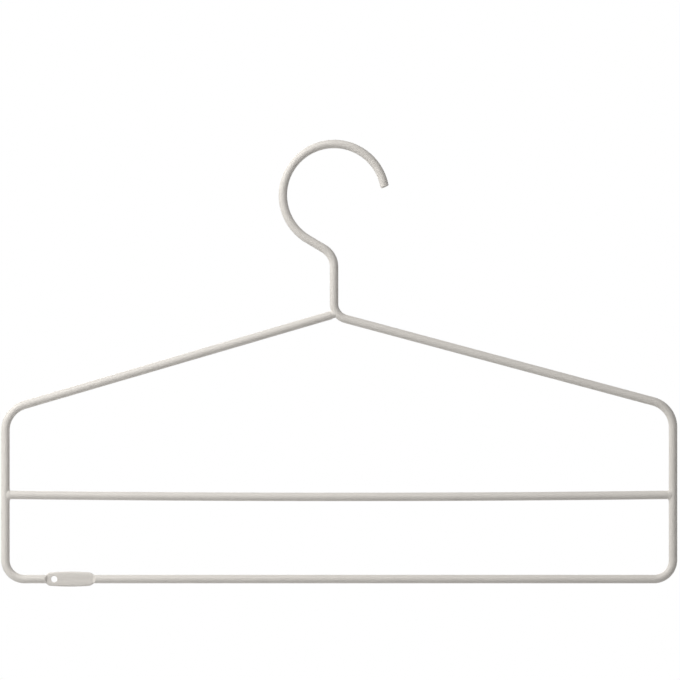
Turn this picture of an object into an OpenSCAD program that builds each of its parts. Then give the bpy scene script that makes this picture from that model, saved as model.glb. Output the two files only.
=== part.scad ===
// Trouser hanger: one bent round rod with a butt-welded bar.
// Millimetres. Origin at the inside crown of the hook, +Z up, +X to the right, front towards -Y.

/* [Rod] */
// Diameter of the rod, coating included
rod_d = 5.3; // [4.6:0.1:6.2]

/* [Hook] */
// Inside diameter of the hook
hook_bore_d = 58.3; // [50:0.1:66]
// Angle of the hook's tip above the level of the hook's middle
hook_tip_angle = 8.9; // [-20:0.1:40]
// Angle between the straight back of the hook and the neck
hook_lead_angle = 59.3; // [52:0.1:66]
// Radius of the bend between the hook's back and the neck, to the rod's middle
hook_bend_r = 13.1; // [9:0.1:16]
// Rounding of the cut edge at the hook's tip
tip_round = 0.8; // [0.3:0.1:1.5]
// Slant of the cut at the hook's tip, longer on the inside of the hook
tip_slant = 13; // [5:1:16]

/* [Shoulders] */
// Drop from the hook's crown to where the lines of the neck and the right shoulder meet
neck_drop = 104.1; // [96:0.1:112]
// Slope of the right shoulder below level
right_slope = 15; // [11:0.1:19]
// Slope of the left shoulder below level
left_slope = 16.3; // [12:0.1:20]
// Height of the left shoulder's line above the right one's, where both cross the neck
left_lift = 1; // [0:0.1:2]
// Radius of the bend from the neck into the right shoulder, to the rod's middle
neck_bend_r = 9.9; // [8:0.1:12]

/* [Frame] */
// Width over the two side rods
frame_w = 420; // [380:1:460]
// Distance of the frame's middle to the right of the neck
frame_shift = 3.2; // [-8:0.1:8]
// Drop from the hook's crown to the middle of the bottom rod
bottom_drop = 267.6; // [255:0.1:285]
// Radius of the two upper corners, to the rod's middle
top_corner_r = 16.6; // [12:0.1:22]
// Radius of the two lower corners, to the rod's middle
bottom_corner_r = 11.9; // [8:0.1:16]

/* [Trouser bar] */
// Drop from the hook's crown to the middle of the bar's ends
bar_drop = 215.3; // [200:0.1:230]
// How far the bar bows down in its middle
bar_bow = 1.25; // [0.5:0.05:1.8]

/* [Welds] */
// Fillet of the weld round each end of the bar
bar_weld_fillet = 1.2; // [0.6:0.1:1.5]
// Gap that the weld bridges at each end of the bar
bar_root_gap = 0.1; // [0.1:0.05:0.3]
// Thickness of that weld's outer edge on the bar
weld_lip = 0.12; // [0.1:0.02:0.2]
// Depth of that weld into the root beside the side rod
bar_weld_root = 1.6; // [1.2:0.1:1.9]
// How far that weld stands proud of the rods at the front and back
bar_weld_proud = 0.25; // [0.15:0.05:0.4]
// Gap that the weld bridges between the left shoulder's end and the neck
neck_root_gap = 0.45; // [0.4:0.05:0.8]
// Rounding of the left shoulder's end
shoulder_end_round = 1.2; // [0.8:0.1:1.4]
// Diameter of the weld between the left shoulder's end and the neck
neck_weld_d = 4.3; // [3.6:0.1:4.6]

/* [Tag] */
// Distance of the tag's middle to the left of the neck
tag_left = 163.8; // [120:0.1:170]
// Length of the flattened stretch
tag_l = 30.5; // [26:0.1:36]
// Height of the tag at its middle
tag_h = 9.36; // [8:0.01:11]
// Thickness of the tag
tag_t = 2.4; // [2:0.1:3]
// Radius of the tag's long edges, which bow outwards
tag_bow_r = 160; // [140:1:220]
// Corner radius at the tag's left end, where its right end is fully round
tag_corner_r = 3; // [2:0.1:3.4]
// Length of the flat floor between the two end walls
tag_floor_l = 28.7; // [24:0.1:30]
// Run of each sloped end wall along the rod
tag_wall_run = 1.4; // [1:0.05:2.5]
// Diameter of the hole in the tag
hole_d = 4; // [3:0.1:5]
// Distance of the hole's middle from the tag's left end
hole_inset = 5.2; // [4.5:0.1:12]

/* [Hidden] */
$fn = 96;
// Sides of the widest circles, which the tag's long edges are cut from
wide_fn = 720;
coat = [0.87, 0.85, 0.82];
weld_coat = [0.82, 0.8, 0.77];
rod_r = rod_d / 2;
// Where a straight meets a bend, the shorter of the two is drawn a hair thinner and the straight
// runs a short way into the bend, so that two stretches always meet on a plain ring
hair = 0.03;
lap = 0.02;
left_x = frame_shift - frame_w / 2 + rod_r;
right_x = frame_shift + frame_w / 2 - rod_r;
hook_r = hook_bore_d / 2 + rod_r;
hook_mid = [0, -hook_bore_d / 2];
// Where the hook's bow runs out into its straight back, and where that meets the neck's line
hook_back_angle = 180 + hook_lead_angle;
hook_back = polar(hook_mid, hook_back_angle, hook_r);
hook_corner = [0, hook_back.y + hook_back.x / tan(hook_lead_angle)];
neck_corner = [0, -neck_drop];
neck_bend_mid = [neck_bend_r, -neck_drop + neck_bend_r * tan(45 - right_slope / 2)];
left_corner = [left_x, left_lift - neck_drop + left_x * tan(left_slope)];
right_corner = [right_x, -neck_drop - right_x * tan(right_slope)];
// How far the left shoulder's line runs from its corner before it meets the outside of the neck bend
seam_reach = along(left_corner, left_slope, neck_bend_mid)
    - sqrt(pow(neck_bend_r + rod_r, 2) - pow(across(left_corner, left_slope, neck_bend_mid), 2));
shoulder_end = polar(left_corner, left_slope, seam_reach - neck_root_gap);
// The frame's line, corner by corner from the left shoulder's end to the hook, with each bend's radius
frame_line = [
    [shoulder_end, 0],
    [left_corner, top_corner_r],
    [[left_x, -bottom_drop], bottom_corner_r],
    [[right_x, -bottom_drop], bottom_corner_r],
    [right_corner, top_corner_r],
    [neck_corner, neck_bend_r],
    [hook_corner, hook_bend_r],
    [hook_back, 0],
];
bottom_stretch = 2;
neck_bend = 5;
// The bar's line bows through two long bends, with a short level stretch between them
bar_half_level = 1;
bar_left = left_x + rod_r + bar_root_gap;
bar_right = right_x - rod_r - bar_root_gap;
bar_quarter = (bar_right - bar_left) / 4;
bar_slope = atan(bar_bow / bar_quarter);
bar_bend_r = (bar_quarter - bar_half_level) / tan(bar_slope / 2);
bar_line = [
    [[bar_left, -bar_drop], 0],
    [[bar_left + bar_quarter, -bar_drop - bar_bow], bar_bend_r],
    [[bar_right - bar_quarter, -bar_drop - bar_bow], bar_bend_r],
    [[bar_right, -bar_drop], 0],
];
// The straight bit behind the slanted cut
tip_l = tip_round + 0.3;
tag_mid = [-tag_left, -bottom_drop];
tag_half_h = tag_h / 2;
// The discs at the tag's ends stand this little proud of its long edges, so that they cross cleanly
disc_proud = 0.02;
tag_end_r = (tag_half_h * (2 * tag_bow_r - tag_half_h) - tag_l * tag_l / 4) / (2 * tag_bow_r - tag_l);
hole_mid = [tag_mid.x - tag_l / 2 + hole_inset, tag_mid.y];

// A point at a distance from another one, in a direction given in degrees
function polar(p, angle, distance) = p + distance * [cos(angle), sin(angle)];

// How far point q lies along a line through p, and how far across it
function along(p, angle, q) = (q.x - p.x) * cos(angle) + (q.y - p.y) * sin(angle);
function across(p, angle, q) = (q.y - p.y) * cos(angle) - (q.x - p.x) * sin(angle);

function wrapped(angle) = angle - 360 * round(angle / 360);

// Direction of the stretch that leaves corner i of a line
function course(line, i) = atan2(line[i + 1][0].y - line[i][0].y, line[i + 1][0].x - line[i][0].x);

// Turn at corner i, positive to the left
function turn(line, i) = wrapped(course(line, i) - course(line, i - 1));

// How far the bend at corner i takes up the stretches on either side of it
function setback(line, i) = line[i][1] == 0 ? 0 : line[i][1] * tan(abs(turn(line, i)) / 2);

// The rods are drawn lying in the XY plane, and this stands them up with their front towards -Y
module upright() {
    rotate([90, 0, 0]) children();
}

// Lays a shape that stands on the origin along a direction, with its X axis to the right of it
module along_x(start, angle) {
    translate(start) rotate([0, 0, angle]) rotate([0, 90, 0]) rotate([0, 0, -90]) children();
}

// A straight rod, with its far end's edge rounded where a rounding is given
module straight(start, angle, length, rounding = 0, thinner = 0) {
    along_x(start, angle) {
        if (rounding == 0) {
            translate([0, 0, -lap]) cylinder(r = rod_r - thinner, h = length + 2 * lap);
        } else {
            translate([0, 0, -lap]) cylinder(r = rod_r, h = length - rounding + lap);
            translate([0, 0, length - rounding]) rotate_extrude() {
                square([rod_r - rounding, rounding]);
                intersection() {
                    translate([rod_r - rounding, 0]) circle(r = rounding);
                    square([rod_r, rounding]);
                }
            }
        }
    }
}

// A bend that starts in the given direction, to the left where the turn is positive
module bend(start, angle, radius, turn, thinner = hair) {
    translate(start) rotate([0, 0, angle]) mirror([0, turn < 0 ? 1 : 0, 0]) translate([0, radius]) {
        rotate([0, 0, -90]) rotate_extrude(angle = abs(turn)) {
            translate([radius, 0]) rotate(turn < 0 ? 180 : 0) circle(r = rod_r - thinner);
        }
    }
}

// The straight stretch that leaves corner i of a line
module stretch(line, i, thinner = 0) {
    start = polar(line[i][0], course(line, i), setback(line, i));
    length = norm(line[i + 1][0] - line[i][0]) - setback(line, i) - setback(line, i + 1);
    straight(start, course(line, i), length, thinner = thinner);
}

// The bend at corner i of a line
module corner(line, i, thinner = hair) {
    start = polar(line[i][0], course(line, i - 1), -setback(line, i));
    bend(start, course(line, i - 1), line[i][1], turn(line, i), thinner);
}

// The left shoulder, whose free end is butted against the neck bend
module left_shoulder() {
    start = polar(left_corner, left_slope, setback(frame_line, 1));
    straight(start, left_slope, norm(shoulder_end - start), shoulder_end_round);
}

// The hook's bow, which ends in a short straight bit that is turned outwards by the slant of its cut
module hook_bow() {
    end_angle = hook_tip_angle + 180 * tip_l / (PI * hook_r);
    end = polar(hook_mid, end_angle, hook_r);
    bend(hook_back, hook_back_angle - 90, hook_r, end_angle - hook_back_angle);
    translate(end) sphere(r = rod_r - 2 * hair);
    straight(end, end_angle - 90 + tip_slant, tip_l, tip_round);
}

// A disc with a half-round rim
module coined_disc(radius) {
    rotate_extrude() {
        translate([0, -tag_t / 2]) square([radius - tag_t / 2, tag_t]);
        translate([radius - tag_t / 2, 0]) circle(d = tag_t);
    }
}

// The flattened metal, before its hole: two bowed long edges, a blunt left end and a round right end
module tag_plate() {
    bow_mid = tag_bow_r - tag_half_h;
    corner_x = tag_l / 2 - tag_corner_r;
    corner_y = sqrt(pow(tag_bow_r - tag_corner_r, 2) - corner_x * corner_x) - bow_mid;
    end_x = tag_l / 2 - tag_end_r;
    intersection() {
        translate([0, -bow_mid]) coined_disc(tag_bow_r, $fn = wide_fn);
        translate([0, bow_mid]) coined_disc(tag_bow_r, $fn = wide_fn);
        translate([-corner_x, -tag_h, -tag_t]) cube([corner_x + end_x, 2 * tag_h, 2 * tag_t]);
    }
    translate([end_x, 0]) coined_disc(tag_end_r + disc_proud);
    for (side = [-1, 1]) {
        translate([-corner_x, side * corner_y]) coined_disc(tag_corner_r + disc_proud);
    }
    translate([tag_t / 2 - tag_l / 2, -corner_y, -tag_t / 2]) cube([tag_l / 2, 2 * corner_y, tag_t]);
}

// The die that presses one face of the rod flat, with a sloped wall at each end
module die() {
    top = rod_r + tag_t / 2;
    flare = tag_wall_run * rod_r / (rod_r - tag_t / 2);
    rotate([90, 0, 0]) linear_extrude(2 * tag_h, center = true) polygon([
        [-tag_floor_l / 2, tag_t / 2],
        [tag_floor_l / 2, tag_t / 2],
        [tag_floor_l / 2 + flare, top],
        [-tag_floor_l / 2 - flare, top],
    ]);
}

// The bottom rod with its flat, pierced tag
module tag_stretch() {
    difference() {
        union() {
            difference() {
                stretch(frame_line, bottom_stretch);
                translate(tag_mid) die();
                translate(tag_mid) mirror([0, 0, 1]) die();
            }
            translate(tag_mid) tag_plate();
        }
        translate(hole_mid) cylinder(d = hole_d, h = rod_d, center = true);
    }
}

// Bent rod: shoulders, sides, bottom with its tag, neck and hook, all in one piece
module frame_rod() {
    color(coat) upright() {
        left_shoulder();
        for (i = [1 : len(frame_line) - 2]) {
            if (i != bottom_stretch) stretch(frame_line, i);
            corner(frame_line, i);
        }
        tag_stretch();
        hook_bow();
    }
}

// The bar's bowed run from one root gap to the other
module bar_rod() {
    for (i = [0 : len(bar_line) - 2]) {
        stretch(bar_line, i, thinner = hair);
        if (i > 0) corner(bar_line, i, thinner = 0);
    }
}

// Bar for the trousers, bowed down a little, between the side rods
module trouser_bar() {
    color(coat) upright() bar_rod();
}

// Weld between the left shoulder's end and the outside of the neck bend
module neck_weld() {
    color(weld_coat) upright() difference() {
        along_x(polar(shoulder_end, left_slope, -shoulder_end_round / 2), left_slope) {
            cylinder(d = neck_weld_d, h = shoulder_end_round / 2 + neck_root_gap + rod_r);
        }
        left_shoulder();
        corner(frame_line, neck_bend);
    }
}

// Weld round one end of the bar: a collar with a concave face towards the bar, rounded off into
// the side rod, and squeezed so that it stands less proud at the front and back
module bar_weld(side_x, side) {
    foot_r = rod_r + weld_lip + bar_weld_fillet;
    squeeze = (rod_r + bar_weld_proud) / foot_r;
    color(weld_coat) upright() difference() {
        along_x([side_x + side * rod_r, -bar_drop], side > 0 ? 0 : 180) scale([1, squeeze, 1]) rotate_extrude() {
            difference() {
                square([foot_r, bar_weld_fillet]);
                translate([foot_r, bar_weld_fillet]) circle(r = bar_weld_fillet);
            }
            translate([0, -bar_weld_root]) square([foot_r - bar_weld_root, bar_weld_root]);
            intersection() {
                translate([foot_r - bar_weld_root, 0]) circle(r = bar_weld_root);
                translate([0, -bar_weld_root]) square([foot_r, bar_weld_root]);
            }
        }
        translate([side_x, -bar_drop]) rotate([90, 0, 0]) cylinder(r = rod_r, h = 4 * foot_r, center = true);
        bar_rod();
    }
}

module left_bar_weld() {
    bar_weld(left_x, 1);
}

module right_bar_weld() {
    bar_weld(right_x, -1);
}

frame_rod();
trouser_bar();
neck_weld();
left_bar_weld();
right_bar_weld();
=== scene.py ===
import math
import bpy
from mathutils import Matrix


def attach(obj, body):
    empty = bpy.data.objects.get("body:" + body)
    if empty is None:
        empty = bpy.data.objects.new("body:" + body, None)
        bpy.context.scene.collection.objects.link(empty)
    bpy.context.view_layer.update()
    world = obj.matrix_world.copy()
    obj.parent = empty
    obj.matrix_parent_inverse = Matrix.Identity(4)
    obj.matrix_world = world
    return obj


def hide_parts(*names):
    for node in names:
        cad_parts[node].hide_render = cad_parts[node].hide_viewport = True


bl_info = {
    "name": "Trouser hanger",
    "version": (1, 0, 0),
    "blender": (4, 5, 0),
    "location": "View3D > Sidebar > Hanger",
    "description": "Builds a powder-coated trouser hanger from one bent rod, a bar and their welds",
    "category": "Add Mesh",
}

import bpy
import numpy as np
from bpy.props import FloatProperty, FloatVectorProperty, IntProperty, PointerProperty
from mathutils import Vector

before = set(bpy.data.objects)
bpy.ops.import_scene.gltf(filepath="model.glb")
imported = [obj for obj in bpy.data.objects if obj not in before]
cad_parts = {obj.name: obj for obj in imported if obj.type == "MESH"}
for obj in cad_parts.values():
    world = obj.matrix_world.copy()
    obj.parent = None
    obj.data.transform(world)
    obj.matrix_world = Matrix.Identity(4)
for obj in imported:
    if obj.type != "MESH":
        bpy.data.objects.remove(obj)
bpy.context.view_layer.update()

MM = 0.001


def length(name, description, millimetres, least=0.0):
    """A size property, given in millimetres and kept in metres."""
    return FloatProperty(
        name=name,
        description=description,
        default=millimetres * MM,
        min=least * MM,
        precision=5,
        unit="LENGTH",
        subtype="DISTANCE",
    )


def degrees(name, description, value):
    """An angle property, given in degrees and kept in radians."""
    return FloatProperty(
        name=name,
        description=description,
        default=math.radians(value),
        unit="ROTATION",
        subtype="ANGLE",
    )


def share(name, description, value):
    """A plain number from 0 to 1."""
    return FloatProperty(name=name, description=description, default=value, min=0.0, max=1.0)


def count(name, description, value, least, most):
    """A whole number between two limits."""
    return IntProperty(name=name, description=description, default=value, min=least, max=most)


def power(name, description, watts):
    """A lamp's power, in watts."""
    return FloatProperty(name=name, description=description, default=watts, min=0.0, unit="POWER")


def colour(name, description, value):
    """A colour property, in Blender's own linear values."""
    return FloatVectorProperty(
        name=name, description=description, default=value, subtype="COLOR", size=3, min=0.0, max=1.0
    )


class HangerRod(bpy.types.PropertyGroup):
    """The rod and the way it is bent."""

    diameter: length("Rod diameter", "Diameter of the rod, coating included", 5.3)
    hook_bore: length("Hook bore", "Inside diameter of the hook", 58.3)
    tip_angle: degrees("Tip angle", "Height of the hook's tip above the hook's middle", 8.9)
    tip_slant: degrees("Tip slant", "Slant of the tip's cut, longer on the hook's inside", 13.0)
    tip_length: length("Tip length", "Length of the straight bit behind that cut", 1.4)
    tip_round: length("Tip rounding", "Rounding of the cut edge at the hook's tip", 1.0)
    lead_angle: degrees("Lead angle", "Angle between the hook's straight back and the neck", 59.3)
    lead_bend: length("Lead bend", "Radius of the bend between the hook's back and the neck", 13.1)
    neck_drop: length("Neck drop", "Drop from the hook's crown to the foot of the neck", 104.1)
    neck_bend: length("Neck bend", "Radius of the bend from the neck into the right shoulder", 9.9)
    right_slope: degrees("Right slope", "Slope of the right shoulder below level", 15.0)
    left_slope: degrees("Left slope", "Slope of the left shoulder below level", 16.3)
    left_lift: length("Left lift", "Height of the left shoulder's line above the right one's", 1.0)
    end_round: length("End rounding", "Rounding of the left shoulder's welded end", 1.2)
    root_gap: length("Root gap", "Gap that the weld bridges at the left shoulder's end", 0.45)
    width: length("Width", "Width over the two side rods", 420.0)
    shift: length("Shift", "Distance of the frame's middle to the right of the neck", 3.2)
    bottom_drop: length("Bottom drop", "Drop from the hook's crown to the bottom rod", 267.6)
    top_corner: length("Top corners", "Radius of the two upper corners", 16.6)
    bottom_corner: length("Bottom corners", "Radius of the two lower corners", 11.9)
    sides: count("Sides", "Faces round the rod", 64, 12, 128)
    bend_step: degrees("Bend step", "Turn between two rings of a bend", 2.0)


class HangerBar(bpy.types.PropertyGroup):
    """The bar that the trousers hang over."""

    drop: length("Bar drop", "Drop from the hook's crown to the bar's ends", 215.3)
    bow: length("Bow", "How far the two bends of the bar's line lie below its ends", 1.25)
    half_level: length("Level run", "Half the level run between those two bends", 1.0)
    root_gap: length("Root gap", "Gap that the weld bridges at each end of the bar", 0.1)


class HangerTag(bpy.types.PropertyGroup):
    """The flattened and pierced stretch of the bottom rod."""

    left: length("Left of neck", "Distance of the tag's middle to the left of the neck", 163.8)
    size: length("Length", "Length of the flattened stretch", 30.5)
    height: length("Height", "Height of the tag at its middle", 9.36)
    thickness: length("Thickness", "Thickness of the tag", 2.4)
    rim: length("Rim", "How far in from the tag's edge its face starts to round over", 0.8)
    bow: length("Edge bow", "Radius of the tag's long edges", 160.0)
    corner: length("Left corners", "Corner radius at the tag's blunt left end", 3.0)
    floor: length("Floor", "Length of the flat floor between the end walls", 28.7)
    wall_run: length("Wall run", "Run of each sloped end wall along the rod", 1.4)
    hole: length("Hole", "Diameter of the hole", 4.0)
    hole_inset: length("Hole inset", "Distance of the hole's middle from the tag's left end", 5.2)
    hole_lip: length("Hole lip", "Rounding of the hole's rims", 0.25)
    soft_root: length("Soft root", "How far the coat rounds off the tag's inner corners", 0.9)


class HangerWeld(bpy.types.PropertyGroup):
    """The beads where the rod and the bar are joined."""

    voxel: length("Fusing step", "Size of the steps in which a bead is fused", 0.14)
    sink: length("Sink", "How far a bead's own stretch of rod lies under the real one", 0.05)
    bar_flow: count("Bar flow", "How far a bar bead has flowed", 32, 0, 200)
    neck_flow: count("Neck flow", "How far the neck bead has flowed", 8, 0, 200)
    collar: length("Collar", "Radius of the bar bead's core", 3.15)
    neck_core: length("Neck core", "Diameter of the neck bead's core", 4.7)


class HangerCoat(bpy.types.PropertyGroup):
    """The powder coat."""

    base: colour("Coat", "Colour of the powder coat", (0.795, 0.758, 0.706))
    shade: colour("Thin coat", "Colour where the coat lies thinner", (0.755, 0.717, 0.666))
    roughness: share("Roughness", "Gloss of the coat, where 0 is a mirror", 0.42)
    peel: length("Orange peel", "Width of the coat's soft dimples", 1.5)
    grain: length("Grain", "Width of the coat's fine grain", 0.28)
    relief: length("Relief", "Depth of the dimples and grain together", 0.005)
    cloud: length("Clouds", "Width of the slow changes in tone and gloss", 38.0)


class HangerStudio(bpy.types.PropertyGroup):
    """The floor, the lights and the camera."""

    floor_gap: length("Floor gap", "Height of the bottom rod above the floor", 100.0)
    floor: colour("Floor", "Colour of the floor", (0.74, 0.74, 0.74))
    floor_glow: share("Floor glow", "How much lighter the camera sees the near floor", 0.40)
    fade_start: length("Fade start", "How far out the floor starts to fade to white", 240.0)
    fade_end: length("Fade end", "How far out the floor is white", 430.0)
    sky: share("Ambient light", "Strength of the even light from all round", 0.10)
    side: power("Side light", "Power of the lamp beside the left shoulder", 8.2)
    key: power("Key light", "Power of the large lamp at the upper left", 6.2)
    top: power("Top light", "Power of the lamp above the front", 4.6)
    back: power("Back light", "Power of the lamp behind the hanger", 8.0)
    distance: length("Camera distance", "Distance of the camera from the hanger", 2600.0)
    camera_x: length("Camera side", "Camera's place to the right of the neck", 3.7, least=-1000.0)
    camera_drop: length("Camera drop", "Drop from the hook's crown to the camera's height", 119.1)
    lens: FloatProperty(
        name="Lens", description="Focal length of the camera's lens", default=221.6, unit="CAMERA"
    )


class Corner:
    """A corner of a rod's line in the hanger's plane, with the radius of its bend."""

    def __init__(self, x, z, radius=0.0):
        self.place = Vector((x, 0.0, z))
        self.radius = radius


def heading(a, b):
    """Direction from one corner to the next, as an angle above the X axis."""
    return math.atan2(b.place.z - a.place.z, b.place.x - a.place.x)


def pointing(angle):
    """The unit vector of such a direction."""
    return Vector((math.cos(angle), 0.0, math.sin(angle)))


def wrapped(angle):
    """The same angle between half a turn to the right and half a turn to the left."""
    return math.remainder(angle, math.tau)


def bend_at(line, i):
    """Turn of the line at corner i, and how far its bend takes up the runs beside it."""
    turn = wrapped(heading(line[i], line[i + 1]) - heading(line[i - 1], line[i]))
    return turn, line[i].radius * math.tan(abs(turn) / 2)


def shoulder_end(rod, left):
    """Where the left shoulder ends, short of the outside of the neck bend by the weld's gap."""
    along = pointing(rod.left_slope)
    rise = rod.neck_bend * math.tan(math.pi / 4 - rod.right_slope / 2)
    bend_middle = Vector((rod.neck_bend, 0.0, -rod.neck_drop + rise))
    bend_outside = rod.neck_bend + rod.diameter / 2
    to_middle = bend_middle - left.place
    off_line = (to_middle - along * to_middle.dot(along)).length
    reach = to_middle.dot(along) - math.sqrt(bend_outside**2 - off_line**2) - rod.root_gap
    end = left.place + along * reach
    return Corner(end.x, end.z)


# Places in the list that rod_line gives: the corner where the bottom rod starts, and the neck bend
BOTTOM_RUN = 2
NECK = 5


def rod_line(rod):
    """The corners of the bent rod from the left shoulder's welded end to the back of the hook."""
    r = rod.diameter / 2
    left_x = rod.shift - rod.width / 2 + r
    right_x = rod.shift + rod.width / 2 - r
    left_z = rod.left_lift - rod.neck_drop + left_x * math.tan(rod.left_slope)
    right_z = -rod.neck_drop - right_x * math.tan(rod.right_slope)
    left = Corner(left_x, left_z, rod.top_corner)
    right = Corner(right_x, right_z, rod.top_corner)
    hook_r = rod.hook_bore / 2 + r
    back_angle = math.pi + rod.lead_angle
    back = Vector((0.0, 0.0, -rod.hook_bore / 2)) + hook_r * pointing(back_angle)
    return [
        shoulder_end(rod, left),
        left,
        Corner(left_x, -rod.bottom_drop, rod.bottom_corner),
        Corner(right_x, -rod.bottom_drop, rod.bottom_corner),
        right,
        Corner(0.0, -rod.neck_drop, rod.neck_bend),
        Corner(0.0, back.z + back.x / math.tan(rod.lead_angle), rod.lead_bend),
        Corner(back.x, back.z),
    ]


def bar_line(rod, bar):
    """The corners of the bar's slightly bowed line, from its left end to its right end."""
    left = rod.shift - rod.width / 2 + rod.diameter + bar.root_gap
    right = rod.shift + rod.width / 2 - rod.diameter - bar.root_gap
    quarter = (right - left) / 4
    radius = (quarter - bar.half_level) / math.tan(math.atan2(bar.bow, quarter) / 2)
    return [
        Corner(left, -bar.drop),
        Corner(left + quarter, -bar.drop - bar.bow, radius),
        Corner(right - quarter, -bar.drop - bar.bow, radius),
        Corner(right, -bar.drop),
    ]


def pick(obj):
    """Selects one object alone and makes it the active one."""
    bpy.ops.object.select_all(action="DESELECT")
    obj.select_set(True)
    bpy.context.view_layer.objects.active = obj


def edit(obj):
    """Goes into edit mode on one object."""
    pick(obj)
    bpy.ops.object.mode_set(mode="EDIT")


def leave():
    """Goes back to object mode."""
    bpy.ops.object.mode_set(mode="OBJECT")


def rest_in_place(obj):
    """Puts an object's origin at the frame's origin, with its place, turn and size in its mesh."""
    pick(obj)
    bpy.ops.object.transform_apply(location=True, rotation=True, scale=True)


def use_modifier(obj, kind, **settings):
    """Adds a modifier with these settings and applies it."""
    modifier = obj.modifiers.new(kind.lower(), kind)
    for key, value in settings.items():
        setattr(modifier, key, value)
    bpy.context.view_layer.objects.active = obj
    bpy.ops.object.modifier_apply(modifier=modifier.name)


# Points closer than this become one
DOUBLES_GAP = 0.0001 * MM


def close_and_turn_out(obj):
    """Merges doubled points and turns every face outwards."""
    edit(obj)
    bpy.ops.mesh.select_all(action="SELECT")
    bpy.ops.mesh.remove_doubles(threshold=DOUBLES_GAP)
    bpy.ops.mesh.normals_make_consistent(inside=False)
    leave()


BLUNT_EDGE = math.radians(40)
EVERY_EDGE = math.radians(180)


def smooth(obj, angle=BLUNT_EDGE):
    """Smooth shading over every edge that is blunter than the angle."""
    pick(obj)
    bpy.ops.object.shade_smooth_by_angle(angle=angle)


class Tube:
    """A tube that grows from a closed ring in edit mode, one run or bend at a time."""

    def __init__(self, name, place, angle, radius, sides):
        bpy.ops.object.select_all(action="DESELECT")
        bpy.ops.mesh.primitive_circle_add(
            vertices=sides,
            radius=radius,
            fill_type="NGON",
            location=place,
            rotation=(0.0, math.pi / 2 - angle, 0.0),
        )
        self.obj = bpy.context.object
        self.obj.name = self.obj.data.name = name
        rest_in_place(self.obj)
        self.place = Vector(place)
        self.angle = angle
        edit(self.obj)
        bpy.ops.mesh.select_all(action="SELECT")

    def run(self, distance):
        """Grows straight on."""
        move = distance * pointing(self.angle)
        bpy.ops.mesh.extrude_region_move(TRANSFORM_OT_translate={"value": move})
        self.place += move

    def runs(self, distances):
        """Grows straight on in several steps."""
        for distance in distances:
            self.run(distance)

    def bend(self, radius, turn, step):
        """Grows round a bend, to the left where the turn is positive."""
        side = 1.0 if turn > 0 else -1.0
        centre = self.place + side * radius * pointing(self.angle + math.pi / 2)
        bpy.ops.mesh.spin(
            steps=max(2, math.ceil(abs(turn) / step)),
            angle=abs(turn),
            center=centre,
            axis=(0.0, side, 0.0),
        )
        self.angle += turn
        self.place = centre - side * radius * pointing(self.angle + math.pi / 2)

    def done(self):
        """Leaves edit mode with the tube closed and its faces outwards."""
        leave()
        close_and_turn_out(self.obj)
        return self.obj


# A tube's flat end has more sides than this, and its direction's cosine is above this
END_SIDES = 8
END_SQUARE = 0.99
ROUNDING_SEGMENTS = 6


def is_end(face, place, outwards, reach):
    """Whether a face is a tube's flat end, close to a place and square to a direction."""
    close_by = (face.center - place).length < reach
    square = abs(face.normal.dot(outwards)) > END_SQUARE
    return len(face.vertices) > END_SIDES and close_by and square


def round_end(obj, place, outwards, rounding):
    """Rounds the edge of a tube's flat end at a place."""
    edit(obj)
    bpy.ops.mesh.select_all(action="DESELECT")
    leave()
    for face in obj.data.polygons:
        if is_end(face, place, outwards, rounding):
            face.select = True
    edit(obj)
    bpy.ops.mesh.select_mode(type="FACE")
    bpy.ops.mesh.region_to_loop()
    bpy.ops.mesh.bevel(
        offset=rounding,
        segments=ROUNDING_SEGMENTS,
        profile=0.5,
        affect="EDGES",
        clamp_overlap=False,
    )
    bpy.ops.mesh.select_mode(type="VERT")
    leave()


# The tag's rings: how far they stand past its ends, how far in from each end they stand close
# together, and the steps between them there and in the middle
RINGS_PAST = 2.6 * MM
CLOSE_LEFT = 3.4 * MM
CLOSE_RIGHT = 5.0 * MM
CLOSE_STEP = 0.12 * MM
WIDE_STEP = 0.6 * MM


def tag_stations(tag):
    """Places along the rod, from the tag's middle, at which the tag's rings stand."""
    half = tag.size / 2
    left = np.arange(-half - RINGS_PAST, -half + CLOSE_LEFT, CLOSE_STEP)
    middle = np.arange(-half + CLOSE_LEFT, half - CLOSE_RIGHT, WIDE_STEP)
    right = np.arange(half - CLOSE_RIGHT, half + RINGS_PAST, CLOSE_STEP)
    return sorted([*left, *middle, *right])


def blend_up(a, b, soft):
    """The larger of two lengths, with a soft change from one to the other."""
    near = np.clip(1 - np.abs(a - b) / soft, 0, 1)
    return np.maximum(a, b) + near * near * soft / 4


def blend_down(a, b, soft):
    """The smaller of two lengths, with a soft change from one to the other."""
    return -blend_up(-a, -b, soft)


# Soft changes on the tag: at the foot and the top of its end walls, and the least one at its
# inner corners
WALL_FOOT = 0.10 * MM
WALL_TOP = 0.12 * MM
LEAST_ROOT = 0.02 * MM
# Keeps a division from going to infinity where a direction lies in the plate
LEAST_ACROSS = 1e-6


def pressed_radius(tag, rod_r, u, across):
    """Distance from the rod's middle line to its surface between the tag's faces and end walls."""
    half_t = tag.thickness / 2
    rise = (rod_r - half_t) / tag.wall_run
    gap = half_t + blend_up((np.abs(u) - tag.floor / 2) * rise, np.zeros_like(u), WALL_FOOT)
    walls = gap / np.maximum(np.abs(across), LEAST_ACROSS)
    return blend_down(np.full_like(u, rod_r), walls, WALL_TOP)


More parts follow.
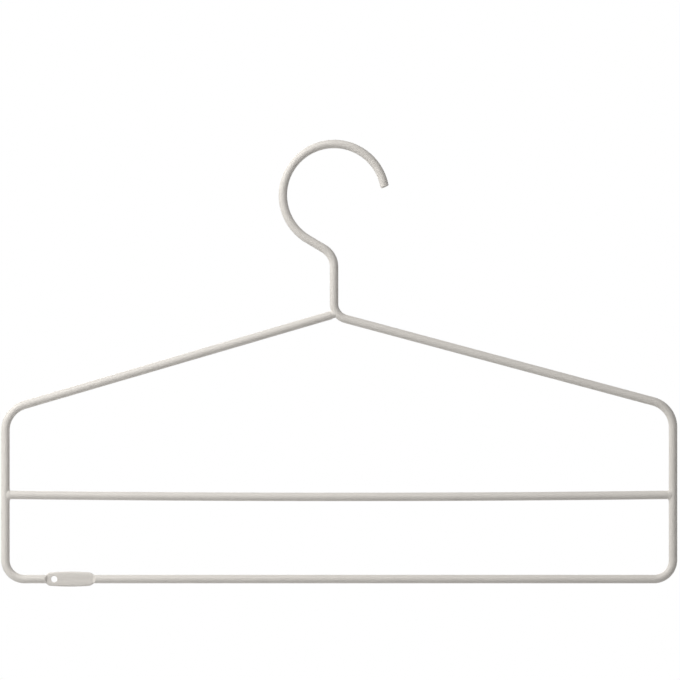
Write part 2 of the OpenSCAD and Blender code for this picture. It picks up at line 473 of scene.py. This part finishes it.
def plate_depth(tag, u, radius, across, up):
    """How far inside the flat plate's surface a point lies, at a radius in a direction."""
    half_t = tag.thickness / 2
    half_h = tag.height / 2
    half_l = tag.size / 2
    bow_middle = tag.bow - half_h
    corner_u = half_l - tag.corner
    corner_v = math.sqrt((tag.bow - tag.corner) ** 2 - corner_u**2) - bow_middle
    end_r = (half_h * (2 * tag.bow - half_h) - half_l**2) / (2 * tag.bow - 2 * half_l)
    end_u = half_l - end_r
    v = np.abs(radius * up)
    edge = tag.bow - np.sqrt(u**2 + (v + bow_middle) ** 2)
    right_end = end_r - np.sqrt((u - end_u) ** 2 + v**2)
    left_corner = tag.corner - np.hypot(u + corner_u, v - corner_v)
    left_end = np.where(v > corner_v, left_corner, u + half_l)
    edge = np.where(u > end_u, np.minimum(edge, right_end), edge)
    edge = np.where(u < -corner_u, np.minimum(edge, left_end), edge)
    rim = 1 - np.clip(edge / tag.rim, 0, 1)
    thick = half_t * np.sqrt(1 - rim * rim)
    return np.where(edge < 0, edge, thick - np.abs(radius * across))


# The plate's surface lies within this many half heights, and is found by halving the range this
# often
SEARCH_REACH = 1.4
HALVINGS = 40


def tag_radius(tag, rod_r, u, across, up):
    """Distance from the rod's middle line to the tag's surface.

    It is taken at a place u along the rod, in a direction given by its parts across the plate
    and up.
    """
    low, high = np.zeros_like(u), np.full_like(u, SEARCH_REACH * (tag.height / 2))
    for _ in range(HALVINGS):
        middle = (low + high) / 2
        within = plate_depth(tag, u, middle, across, up) > 0
        low, high = np.where(within, middle, low), np.where(within, high, middle)
    soft = LEAST_ROOT + tag.soft_root * up**4
    return blend_up(pressed_radius(tag, rod_r, u, across), low, soft)


# How far past the tag's ends points are moved, and how its rings' points are drawn to the two
# long edges: by how much, how far inside the ends that starts, and over what length
MOVED_PAST = 3.0 * MM
CROWDING = 0.33
CROWD_INSET = 0.5 * MM
CROWD_RUN = 1.5 * MM


def crowded(turn, u, tag):
    """Directions round the rod, drawn together at the tag's edges, where its surface turns most."""
    reach = tag.size / 2 - CROWD_INSET
    window = np.clip((reach - np.abs(u)) / CROWD_RUN + 0.5, 0, 1)
    window = window * window * (3 - 2 * window)
    return turn - CROWDING * window * np.sin(2 * turn)


def press_tag(obj, rod, tag):
    """Moves the rings of the bottom rod's tag stretch on to the tag's surface."""
    mesh = obj.data
    points = np.empty(len(mesh.vertices) * 3)
    mesh.vertices.foreach_get("co", points)
    points = points.reshape(-1, 3)
    u = points[:, 0] + tag.left
    w = points[:, 2] + rod.bottom_drop
    chosen = (np.abs(u) < tag.size / 2 + MOVED_PAST) & (np.abs(w) < rod.diameter)
    u, v, w = u[chosen], points[chosen, 1], w[chosen]
    turn = crowded(np.arctan2(v, w), u, tag)
    across, up = np.sin(turn), np.cos(turn)
    radius = tag_radius(tag, rod.diameter / 2, u, across, up)
    points[chosen, 1] = radius * across
    points[chosen, 2] = radius * up - rod.bottom_drop
    mesh.vertices.foreach_set("co", points.ravel())
    mesh.update()


PUNCH_SIDES = 72
LIP_STEPS = 8


def punch_rings(tag):
    """The punch's rings, each with its distance from the tag's middle plane and its radius."""
    half_t = tag.thickness / 2
    lip = tag.hole_lip
    # Well clear of the tag, then just above its face, and from there round the lip
    flares = [(half_t * 3, lip * 1.6), (half_t + lip * 0.02, lip * 1.25)]
    for step in range(LIP_STEPS + 1):
        angle = math.pi / 2 * step / LIP_STEPS
        flares.append((half_t - lip + lip * math.cos(angle), lip - lip * math.sin(angle)))
    flares += [(-depth, flare) for depth, flare in reversed(flares)]
    return [(depth, tag.hole / 2 + flare) for depth, flare in flares]


def flared_punch(rod, tag):
    """The punch for the hole, flared at both of the tag's faces to round the hole's rims."""
    rings = punch_rings(tag)
    place = Vector((-tag.left - tag.size / 2 + tag.hole_inset, 0.0, -rod.bottom_drop))
    depth, radius = rings[0]
    bpy.ops.object.select_all(action="DESELECT")
    bpy.ops.mesh.primitive_circle_add(
        vertices=PUNCH_SIDES,
        radius=radius,
        fill_type="NGON",
        location=place + Vector((0.0, depth, 0.0)),
        rotation=(math.pi / 2, 0.0, 0.0),
    )
    obj = bpy.context.object
    rest_in_place(obj)
    edit(obj)
    bpy.ops.mesh.select_all(action="SELECT")
    for next_depth, next_radius in rings[1:]:
        move = (0.0, next_depth - depth, 0.0)
        scale = next_radius / radius
        middle = place + Vector((0.0, next_depth, 0.0))
        bpy.ops.mesh.extrude_region_move(TRANSFORM_OT_translate={"value": move})
        bpy.ops.transform.resize(value=(scale, 1.0, scale), center_override=middle)
        depth, radius = next_depth, next_radius
    leave()
    close_and_turn_out(obj)
    return obj


def punch_hole(obj, rod, tag):
    """Cuts the tag's hole."""
    punch = flared_punch(rod, tag)
    use_modifier(obj, "BOOLEAN", object=punch, operation="DIFFERENCE", solver="EXACT")
    bpy.data.objects.remove(punch)


def follow(tube, line, step):
    """Takes a tube round the corners of a line.

    It gives each run's number and length to its caller, which grows the run before the next corner.
    """
    for i in range(len(line) - 1):
        back = 0.0 if i == 0 else bend_at(line, i)[1]
        ahead = 0.0 if i + 2 == len(line) else bend_at(line, i + 1)[1]
        if i > 0:
            tube.bend(line[i].radius, bend_at(line, i)[0], step)
        run = (line[i + 1].place - line[i].place).length - back - ahead
        yield i, run


def run_bottom(tube, tag, run):
    """Grows the bottom rod, with the rings that the tag needs."""
    start = tube.place.x
    stations = [x - tag.left for x in tag_stations(tag)]
    tube.runs(float(step) for step in np.diff([start] + stations + [start + run]))


# Radius of the turn behind the hook's tip, in rod radii
TIP_JOINT = 1.15


def bend_hook(tube, rod):
    """Grows the hook's arc and its short end, turned a little so that its cut slants."""
    r = rod.diameter / 2
    hook_r = rod.hook_bore / 2 + r
    joint_r = TIP_JOINT * r
    joint = joint_r * math.tan(rod.tip_slant / 2)
    end_angle = rod.tip_angle + (rod.tip_length + joint) / hook_r
    tube.bend(hook_r, -(math.pi + rod.lead_angle - end_angle), rod.bend_step)
    tube.bend(joint_r, rod.tip_slant, rod.bend_step)
    tube.run(rod.tip_length - joint)


def make_bent_rod(rod, tag):
    """The whole bent rod, from the left shoulder's welded end round to the hook's tip."""
    line = rod_line(rod)
    start = heading(line[0], line[1])
    tube = Tube("bent_rod", line[0].place, start, rod.diameter / 2, rod.sides)
    for i, run in follow(tube, line, rod.bend_step):
        if i == BOTTOM_RUN:
            run_bottom(tube, tag, run)
        else:
            tube.run(run)
    bend_hook(tube, rod)
    obj = tube.done()
    round_end(obj, tube.place, pointing(tube.angle), rod.tip_round)
    round_end(obj, line[0].place, -pointing(start), rod.end_round)
    press_tag(obj, rod, tag)
    punch_hole(obj, rod, tag)
    smooth(obj)
    return obj


# Turn between two rings of the bar's slight bends
BAR_STEP = math.radians(0.1)


def make_bar(rod, bar):
    """The bar between the side rods."""
    line = bar_line(rod, bar)
    start = heading(line[0], line[1])
    tube = Tube("trouser_bar_rod", line[0].place, start, rod.diameter / 2, rod.sides)
    for _, run in follow(tube, line, BAR_STEP):
        tube.run(run)
    obj = tube.done()
    smooth(obj)
    return obj


def fuse(name, parts, weld, flow):
    """Fuses overlapping solids to one bead and lets it flow into its hollows."""
    bpy.ops.object.select_all(action="DESELECT")
    for part in parts:
        part.select_set(True)
    bpy.context.view_layer.objects.active = parts[0]
    bpy.ops.object.join()
    bead = bpy.context.object
    bead.name = bead.data.name = name
    bead.data.remesh_voxel_size = weld.voxel
    bpy.ops.object.voxel_remesh()
    use_modifier(bead, "SMOOTH", factor=0.5, iterations=flow)
    close_and_turn_out(bead)
    smooth(bead, EVERY_EDGE)
    return bead


# Faces round the stretches of rod that a bead is fused from
STRETCH_SIDES = 48


def short_rod(place, angle, radius, run, rounding=0.0):
    """A short closed stretch of rod that starts at a place."""
    tube = Tube("stretch", place, angle, radius, STRETCH_SIDES)
    tube.run(run)
    obj = tube.done()
    if rounding:
        round_end(obj, tube.place, pointing(angle), rounding)
    return obj


# A bar bead's stretch of side rod above and below the bar, its stretch of bar, and its collar:
# how far that starts inside the side rod's surface, its length, its rounding, and how it is
# squeezed front to back and drawn out up and down
BEAD_UPRIGHT = 7.0 * MM
BEAD_STUB = 8.0 * MM
COLLAR_SUNK = 1.4 * MM
COLLAR_RUN = 1.75 * MM
COLLAR_ROUND = 0.5 * MM
COLLAR_SQUEEZE = (1.0, 0.86, 1.12)


def make_bar_bead(rod, bar, weld, name, side):
    """The bead round one end of the bar: side is -1 at the left side rod and 1 at the right one."""
    r = rod.diameter / 2
    own_r = r - weld.sink
    rod_x = rod.shift + side * (rod.width / 2 - r)
    line = bar_line(rod, bar)
    slope = heading(line[0], line[1])
    inwards = math.pi - slope if side > 0 else slope
    root = Vector((rod_x, 0.0, -bar.drop))
    foot = root - Vector((0.0, 0.0, BEAD_UPRIGHT))
    upright = short_rod(foot, math.pi / 2, own_r, 2 * BEAD_UPRIGHT)
    stub = short_rod(root, inwards, own_r, BEAD_STUB)
    collar_start = root + (r - COLLAR_SUNK) * pointing(inwards)
    collar = short_rod(collar_start, inwards, weld.collar, COLLAR_RUN, COLLAR_ROUND)
    edit(collar)
    bpy.ops.mesh.select_all(action="SELECT")
    bpy.ops.transform.resize(value=COLLAR_SQUEEZE, center_override=root)
    leave()
    return fuse(name, [upright, stub, collar], weld, weld.bar_flow)


# The neck bead's stretch of shoulder, and how far its core starts inside that
BEAD_SHOULDER = 5.0 * MM
CORE_SUNK = 2.0 * MM


def make_neck_bead(rod, weld):
    """The bead between the left shoulder's end and the outside of the neck bend."""
    line = rod_line(rod)
    own_r = rod.diameter / 2 - weld.sink
    slope = rod.left_slope
    end = line[0].place
    shoulder_start = end - BEAD_SHOULDER * pointing(slope)
    shoulder = short_rod(shoulder_start, slope, own_r, BEAD_SHOULDER, rod.end_round)
    core_run = CORE_SUNK + rod.root_gap + rod.diameter / 2
    core = short_rod(end - CORE_SUNK * pointing(slope), slope, weld.neck_core / 2, core_run)
    turn, back = bend_at(line, NECK)
    uphill = heading(line[NECK - 1], line[NECK])
    bend_start = line[NECK].place - back * pointing(uphill)
    tube = Tube("stretch", bend_start, uphill, own_r, STRETCH_SIDES)
    tube.bend(rod.neck_bend, turn, rod.bend_step)
    return fuse("neck_bead", [shoulder, core, tube.done()], weld, weld.neck_flow)


class Wire:
    """A socket's value in a material, for plain arithmetic."""

    def __init__(self, maker, socket):
        self.maker = maker
        self.socket = socket

    def _math(self, operation, a, b):
        return self.maker.node("ShaderNodeMath", {"operation": operation}, {0: a, 1: b})

    def __add__(self, other):
        return self._math("ADD", self, other)

    def __sub__(self, other):
        return self._math("SUBTRACT", self, other)

    def __rsub__(self, other):
        return self._math("SUBTRACT", other, self)

    def __mul__(self, other):
        return self._math("MULTIPLY", self, other)

    __radd__ = __add__
    __rmul__ = __mul__


WHITE = (1.0, 1.0, 1.0, 1.0)

# Sockets that are reached by number: the Mix node's colours, and Texture Coordinate's Object output
COLOUR_A, COLOUR_B, MIXED_COLOUR = 6, 7, 2
OBJECT_PLACE = 3


class Maker:
    """Adds nodes to a material or the world."""

    def __init__(self, owner):
        owner.use_nodes = True
        self.tree = owner.node_tree
        self.tree.nodes.clear()

    def node(self, kind, settings=None, inputs=None, output=0):
        """Adds a node with these settings and inputs, and returns one of its outputs."""
        made = self.tree.nodes.new(kind)
        for key, value in (settings or {}).items():
            setattr(made, key, value)
        for key, value in (inputs or {}).items():
            if isinstance(value, Wire):
                self.tree.links.new(value.socket, made.inputs[key])
            else:
                made.inputs[key].default_value = value
        return Wire(self, made.outputs[output]) if made.outputs else None

    def mix_colour(self, factor, a, b):
        """A colour between two colours."""
        inputs = {"Factor": factor, COLOUR_A: a, COLOUR_B: b}
        return self.node("ShaderNodeMix", {"data_type": "RGBA"}, inputs, output=MIXED_COLOUR)

    def looked_at(self):
        """1 for rays from the camera, a glossy surface or a clear one, and 0 for others."""
        camera = self.node("ShaderNodeLightPath", output="Is Camera Ray")
        gloss = self.node("ShaderNodeLightPath", output="Is Glossy Ray")
        clear = self.node("ShaderNodeLightPath", output="Is Transmission Ray")
        settings = {"operation": "ADD", "use_clamp": True}
        return self.node("ShaderNodeMath", settings, {0: camera + gloss, 1: clear})

    def noise(self, place, width, detail=2.0):
        """Noise whose features have a real width."""
        inputs = {"Vector": place, "Scale": 1.0 / width, "Detail": detail, "Roughness": 0.5}
        return self.node("ShaderNodeTexNoise", {}, inputs)

    def emission(self, strength):
        """A white glow."""
        return self.node("ShaderNodeEmission", {}, {"Color": WHITE, "Strength": strength})

    def background(self, strength):
        """An even white light from all round."""
        return self.node("ShaderNodeBackground", {}, {"Color": WHITE, "Strength": strength})


def rgba(value):
    """A colour property as a socket takes it."""
    return (*value, 1.0)


# How much of the coat's tone follows its clouds, the rest following its dimples, how far clouds
# and grain change its gloss, and how much of its relief are dimples, the rest being grain
CLOUDS_IN_TONE = 0.75
CLOUDS_IN_GLOSS = 0.10
GRAIN_IN_GLOSS = 0.08
PEEL_IN_RELIEF = 0.88
COAT_IOR = 1.5


def powder_coat(coat):
    """Satin powder coat: soft dimples, fine grain, and slow changes in tone and gloss."""
    material = bpy.data.materials.new("powder_coat")
    maker = Maker(material)
    place = maker.node("ShaderNodeTexCoord", output=OBJECT_PLACE)
    peel = maker.noise(place, coat.peel)
    grain = maker.noise(place, coat.grain, 1.0)
    cloud = maker.noise(place, coat.cloud, 1.0)
    thick = CLOUDS_IN_TONE * cloud + (1 - CLOUDS_IN_TONE) * peel
    tone = maker.mix_colour(thick, rgba(coat.shade), rgba(coat.base))
    gloss = coat.roughness + CLOUDS_IN_GLOSS * (cloud - 0.5) + GRAIN_IN_GLOSS * (grain - 0.5)
    relief = PEEL_IN_RELIEF * peel + (1 - PEEL_IN_RELIEF) * grain
    normal = maker.node(
        "ShaderNodeBump", {}, {"Strength": 1.0, "Distance": coat.relief, "Height": relief}
    )
    surface = maker.node(
        "ShaderNodeBsdfPrincipled",
        {},
        {"Base Color": tone, "Roughness": gloss, "Normal": normal, "IOR": COAT_IOR},
    )
    maker.node("ShaderNodeOutputMaterial", {}, {"Surface": surface})
    material.diffuse_color = rgba(coat.base)
    return material


def coat_material():
    """The coat's material, made on first use."""
    return bpy.data.materials.get("powder_coat") or powder_coat(bpy.context.scene.hanger_coat)


def dress(obj, *nodes):
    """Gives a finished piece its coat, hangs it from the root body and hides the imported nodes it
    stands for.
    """
    obj.data.materials.clear()
    obj.data.materials.append(coat_material())
    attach(obj, "root")
    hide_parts(*nodes)


class HANGER_OT_bent_rod(bpy.types.Operator):
    """Bend the rod with its hook, shoulders, frame and flattened tag"""

    bl_idname = "hanger.bent_rod"
    bl_label = "Bent Rod"

    def execute(self, context):
        scene = context.scene
        dress(make_bent_rod(scene.hanger_rod, scene.hanger_tag), "frame_rod")
        return {"FINISHED"}


class HANGER_OT_trouser_bar(bpy.types.Operator):
    """Add the bar that the trousers hang over"""

    bl_idname = "hanger.trouser_bar"
    bl_label = "Trouser Bar"

    def execute(self, context):
        scene = context.scene
        dress(make_bar(scene.hanger_rod, scene.hanger_bar), "trouser_bar")
        return {"FINISHED"}


class HANGER_OT_bar_beads(bpy.types.Operator):
    """Weld the bar to the two side rods"""

    bl_idname = "hanger.bar_beads"
    bl_label = "Bar Welds"

    def execute(self, context):
        scene = context.scene
        rod, bar, weld = scene.hanger_rod, scene.hanger_bar, scene.hanger_weld
        for name, side in (("left_bar", -1), ("right_bar", 1)):
            bead = make_bar_bead(rod, bar, weld, f"{name}_bead", side)
            dress(bead, f"{name}_weld")
        return {"FINISHED"}


class HANGER_OT_neck_bead(bpy.types.Operator):
    """Weld the left shoulder's end to the neck bend"""

    bl_idname = "hanger.neck_bead"
    bl_label = "Neck Weld"

    def execute(self, context):
        scene = context.scene
        dress(make_neck_bead(scene.hanger_rod, scene.hanger_weld), "neck_weld")
        return {"FINISHED"}


FLOOR_SIDES = 96
FLOOR_RADIUS = 12.0
# Leaves a place's height out, and Vector Math's output for a length
LEVEL_ONLY = (1.0, 1.0, 0.0)
VECTOR_LENGTH = 1


def floor_material(studio):
    """Pale near the hanger, where it takes the shadow, and fading to white further off."""
    material = bpy.data.materials.new("studio_floor")
    maker = Maker(material)
    place = maker.node("ShaderNodeTexCoord", output=OBJECT_PLACE)
    flat = maker.node("ShaderNodeVectorMath", {"operation": "MULTIPLY"}, {0: place, 1: LEVEL_ONLY})
    away = maker.node(
        "ShaderNodeVectorMath", {"operation": "LENGTH"}, {0: flat}, output=VECTOR_LENGTH
    )
    fade = maker.node(
        "ShaderNodeMapRange",
        {"interpolation_type": "SMOOTHSTEP"},
        {
            "Value": away,
            "From Min": studio.fade_start,
            "From Max": studio.fade_end,
            "To Min": 0.0,
            "To Max": 1.0,
        },
    )
    lit = maker.node("ShaderNodeBsdfDiffuse", {}, {"Color": rgba(studio.floor)})
    near = maker.node("ShaderNodeAddShader", {}, {0: lit, 1: maker.emission(studio.floor_glow)})
    seen = maker.node("ShaderNodeMixShader", {}, {0: fade, 1: near, 2: maker.emission(1.0)})
    surface = maker.node("ShaderNodeMixShader", {}, {0: maker.looked_at(), 1: lit, 2: seen})
    maker.node("ShaderNodeOutputMaterial", {}, {"Surface": surface})
    return material


def make_floor(rod, studio):
    """A round pale floor below the hanger."""
    level = -rod.bottom_drop - studio.floor_gap
    bpy.ops.object.select_all(action="DESELECT")
    bpy.ops.mesh.primitive_circle_add(
        vertices=FLOOR_SIDES, radius=FLOOR_RADIUS, fill_type="NGON", location=(0.0, 0.0, level)
    )
    floor = bpy.context.object
    floor.name = floor.data.name = "studio_floor"
    rest_in_place(floor)
    floor.data.materials.append(floor_material(studio))


def make_sky(scene, studio):
    """Faint even light from all round, which the camera and the coat's gloss see as white."""
    world = bpy.data.worlds.new("studio_sky")
    scene.world = world
    maker = Maker(world)
    even = maker.background(studio.sky)
    white = maker.background(1.0)
    surface = maker.node("ShaderNodeMixShader", {}, {0: maker.looked_at(), 1: even, 2: white})
    maker.node("ShaderNodeOutputWorld", {}, {"Surface": surface})


# Each lamp's name, which is its power's name among the studio's properties too, its place and
# its side length
LAMPS = (
    ("side", (-0.95, -0.45, 0.55), 0.6),
    ("key", (-0.72, -0.92, 0.88), 0.7),
    ("top", (0.0, -1.0, 1.2), 0.8),
    ("back", (-0.7, 1.4, 0.6), 0.9),
)
LIT_PLACE = (0.0, 0.0, -0.14)
SENSOR_WIDTH = 36.0


def make_lamp(name, watts, place, size):
    """A square lamp that faces the middle of the hanger."""
    bpy.ops.object.select_all(action="DESELECT")
    bpy.ops.object.light_add(type="AREA", location=place)
    lamp = bpy.context.object
    lamp.name = lamp.data.name = f"{name}_lamp"
    lamp.data.energy = watts
    lamp.data.size = size
    lamp.rotation_euler = (Vector(LIT_PLACE) - Vector(place)).to_track_quat("-Z", "Y").to_euler()


def make_camera(scene, studio):
    """The camera, level and square to the hanger."""
    bpy.ops.object.select_all(action="DESELECT")
    bpy.ops.object.camera_add(
        location=(studio.camera_x, -studio.distance, -studio.camera_drop),
        rotation=(math.pi / 2, 0.0, 0.0),
    )
    camera = bpy.context.object
    camera.name = camera.data.name = "studio_camera"
    camera.data.lens = studio.lens
    camera.data.sensor_width = SENSOR_WIDTH
    scene.camera = camera


class HANGER_OT_studio(bpy.types.Operator):
    """Set up the floor, the lights and the camera"""

    bl_idname = "hanger.studio"
    bl_label = "Studio"

    def execute(self, context):
        scene = context.scene
        studio = scene.hanger_studio
        make_floor(scene.hanger_rod, studio)
        make_sky(scene, studio)
        for name, place, size in LAMPS:
            make_lamp(name, getattr(studio, name), place, size)
        make_camera(scene, studio)
        scene.view_settings.view_transform = "Standard"
        return {"FINISHED"}


class HANGER_PT_panel(bpy.types.Panel):
    """The hanger's sizes and the steps that build it."""

    bl_label = "Trouser Hanger"
    bl_idname = "HANGER_PT_panel"
    bl_space_type = "VIEW_3D"
    bl_region_type = "UI"
    bl_category = "Hanger"

    def draw(self, context):
        for title, key, steps in PANEL_ROWS:
            box = self.layout.box()
            box.label(text=title)
            group = getattr(context.scene, key)
            for name in group.__annotations__:
                box.prop(group, name)
            for step in steps:
                box.operator(step)


PANEL_ROWS = (
    ("Rod", "hanger_rod", ("hanger.bent_rod",)),
    ("Tag", "hanger_tag", ()),
    ("Bar", "hanger_bar", ("hanger.trouser_bar",)),
    ("Welds", "hanger_weld", ("hanger.bar_beads", "hanger.neck_bead")),
    ("Coat", "hanger_coat", ()),
    ("Studio", "hanger_studio", ("hanger.studio",)),
)

GROUPS = {
    "hanger_rod": HangerRod,
    "hanger_tag": HangerTag,
    "hanger_bar": HangerBar,
    "hanger_weld": HangerWeld,
    "hanger_coat": HangerCoat,
    "hanger_studio": HangerStudio,
}

CLASSES = (
    *GROUPS.values(),
    HANGER_OT_bent_rod,
    HANGER_OT_trouser_bar,
    HANGER_OT_bar_beads,
    HANGER_OT_neck_bead,
    HANGER_OT_studio,
    HANGER_PT_panel,
)


def register():
    for cls in CLASSES:
        bpy.utils.register_class(cls)
    for key, group in GROUPS.items():
        setattr(bpy.types.Scene, key, PointerProperty(type=group))


def unregister():
    for key in GROUPS:
        delattr(bpy.types.Scene, key)
    for cls in reversed(CLASSES):
        bpy.utils.unregister_class(cls)


def main():
    register()
    bpy.ops.hanger.bent_rod()
    bpy.ops.hanger.trouser_bar()
    bpy.ops.hanger.bar_beads()
    bpy.ops.hanger.neck_bead()
    bpy.ops.hanger.studio()


if __name__ == "__main__":
    main()
